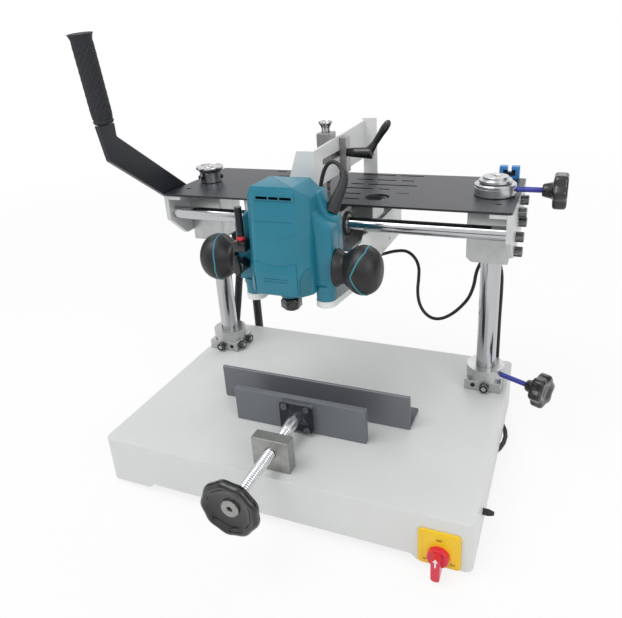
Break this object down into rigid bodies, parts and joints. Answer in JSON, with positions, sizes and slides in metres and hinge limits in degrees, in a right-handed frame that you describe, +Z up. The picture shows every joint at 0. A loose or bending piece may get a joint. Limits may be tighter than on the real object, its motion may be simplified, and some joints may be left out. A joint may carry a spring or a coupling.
{
  "type": "duplicating router",
  "caption": "Bench duplicating router: a plunge router on a two-way carriage follows a slotted template, above a screw vice on a pan base, with a hand lever, column guides and star knobs.",
  "frame": {"origin": "on the bench, below the middle of the machine's footprint with its cords left out", "axes": "+Z up, -Y towards the operator and the handwheel, +X to the operator's right"},
  "size_m": [0.6361, 0.6044, 0.6369],
  "materials": {
    "white_paint": "smooth powder coat",
    "pale_rubber": "matt",
    "yellow_plastic": "satin",
    "red_plastic": "satin",
    "black_rubber": "matt",
    "black_plastic": "satin",
    "black_metal": "satin black",
    "chrome": "polished",
    "machined_aluminium": "machined, anodised",
    "dark_steel": "satin dark grey",
    "grey_steel": "brushed",
    "teal_plastic": "satin",
    "blue_plastic": "satin"
  },
  "bodies": {
    "base": {"base_pan": "white_paint", "foot_front_left": "pale_rubber", "foot_front_right": "pale_rubber", "foot_rear_left": "pale_rubber", "foot_rear_right": "pale_rubber", "switch_plate": "yellow_plastic", "switch_body": "black_plastic", "side_nub": "black_rubber", "left_column": "chrome", "right_column": "chrome", "left_foot_clamp": "machined_aluminium", "right_foot_clamp": "machined_aluminium", "left_column_cap": "machined_aluminium", "right_column_cap": "machined_aluminium", "fence": "dark_steel", "nut_block": "machined_aluminium", "strut_tube": "black_metal", "conduit": "black_rubber", "router_cord": "black_rubber", "mains_cord": "black_rubber", "mains_coil": "black_rubber", "mains_plug": "black_plastic"},
    "switch_knob": {"switch_knob": "red_plastic"},
    "lower_knob": {"lower_star_knob": "black_plastic"},
    "head": {"template_plate": "black_metal", "left_end_plate": "machined_aluminium", "right_end_plate": "machined_aluminium", "left_head_block": "machined_aluminium", "right_head_block": "machined_aluminium", "front_rod": "chrome", "rear_rod": "chrome", "clip_block": "blue_plastic", "head_lock_collar": "machined_aluminium", "strut_rod": "chrome"},
    "upper_knob": {"upper_star_knob": "black_plastic"},
    "lever": {"lever_arm": "black_metal", "lever_grip": "black_rubber"},
    "x_carriage": {"front_bearing": "machined_aluminium", "rear_bearing": "machined_aluminium", "left_cross_rod": "chrome", "right_cross_rod": "chrome"},
    "y_carriage": {"cross_slide": "machined_aluminium", "router_bracket": "white_paint", "bridge": "white_paint"},
    "router": {"router_housing": "teal_plastic", "left_handle": "black_plastic", "right_handle": "black_plastic", "cord_boot": "black_rubber"},
    "collet": {"collet_nut": "black_metal"},
    "depth_rod": {"depth_rod": "black_plastic"},
    "lock_knob": {"lock_knob": "black_plastic"},
    "stylus_clamp": {"clamp_bar": "grey_steel", "stylus_holder": "grey_steel"},
    "clamp_lever": {"clamp_lever": "black_plastic"},
    "stylus": {"stylus": "chrome"},
    "vice_jaw": {"vice_jaw": "grey_steel", "jaw_flange": "dark_steel"},
    "lead_screw": {"lead_screw": "chrome", "handwheel": "black_plastic", "handwheel_hub": "machined_aluminium"}
  },
  "joints": [
    {"name": "switch_turn", "type": "hinge", "parent": "base", "child": "switch_knob", "pos_m": [0.20584, -0.171, 0.028], "axis": [0, 1, 0], "range_deg": [0, 90]},
    {"name": "lower_knob_turn", "type": "hinge", "parent": "base", "child": "lower_knob", "pos_m": [0.26521, 0.12264, 0.1073], "axis": [0.9063, -0.4226, 0], "range_deg": [0, 360]},
    {"name": "upper_knob_turn", "type": "hinge", "parent": "head", "child": "upper_knob", "pos_m": [0.27084, 0.148, 0.4018], "axis": [1, 0, 0], "range_deg": [0, 360]},
    {"name": "head_slide", "type": "slide", "parent": "base", "child": "head", "axis": [0, 0, 1], "range_m": [-0.05, 0], "deforming": ["router_cord", "conduit"]},
    {"name": "lever_turn", "type": "hinge", "parent": "head", "child": "lever", "pos_m": [-0.30116, 0.148, 0.355], "axis": [1, 0, 0], "range_deg": [0, 85]},
    {"name": "x_slide", "type": "slide", "parent": "head", "child": "x_carriage", "axis": [1, 0, 0], "range_m": [-0.11, 0.11]},
    {"name": "y_slide", "type": "slide", "parent": "x_carriage", "child": "y_carriage", "axis": [0, 1, 0], "range_m": [-0.006, 0.008]},
    {"name": "plunge_slide", "type": "slide", "parent": "y_carriage", "child": "router", "axis": [0, 0, 1], "range_m": [0, 0.035]},
    {"name": "collet_turn", "type": "hinge", "parent": "router", "child": "collet", "pos_m": [-0.03116, -0.039, 0.27], "axis": [0, 0, 1], "continuous": true},
    {"name": "depth_rod_slide", "type": "slide", "parent": "router", "child": "depth_rod", "axis": [0, 0, 1], "range_m": [0, 0.012]},
    {"name": "lock_knob_turn", "type": "hinge", "parent": "router", "child": "lock_knob", "pos_m": [-0.09016, -0.062, 0.336], "axis": [0, 1, 0], "range_deg": [0, 70]},
    {"name": "stylus_clamp_slide", "type": "slide", "parent": "y_carriage", "child": "stylus_clamp", "axis": [0, 1, 0], "range_m": [-0.06, 0.01]},
    {"name": "clamp_lever_turn", "type": "hinge", "parent": "stylus_clamp", "child": "clamp_lever", "pos_m": [0.00584, 0.148, 0.448], "axis": [1, 0, 0], "range_deg": [-90, 90]},
    {"name": "stylus_slide", "type": "slide", "parent": "stylus_clamp", "child": "stylus", "axis": [0, 0, 1], "range_m": [0, 0.02]},
    {"name": "jaw_slide", "type": "slide", "parent": "base", "child": "vice_jaw", "axis": [0, 1, 0], "range_m": [-0.026, 0.039]},
    {"name": "screw_turn", "type": "hinge", "parent": "vice_jaw", "child": "lead_screw", "pos_m": [-0.02416, -0.167, 0.109], "axis": [0, 1, 0], "range_deg": [-2340, 3510]}
  ],
  "couplings": [
    {"joint": "lever_turn", "follows": "head_slide", "rad_per_m": -29.67},
    {"joint": "screw_turn", "follows": "jaw_slide", "rad_per_m": 1570.8}
  ]
}
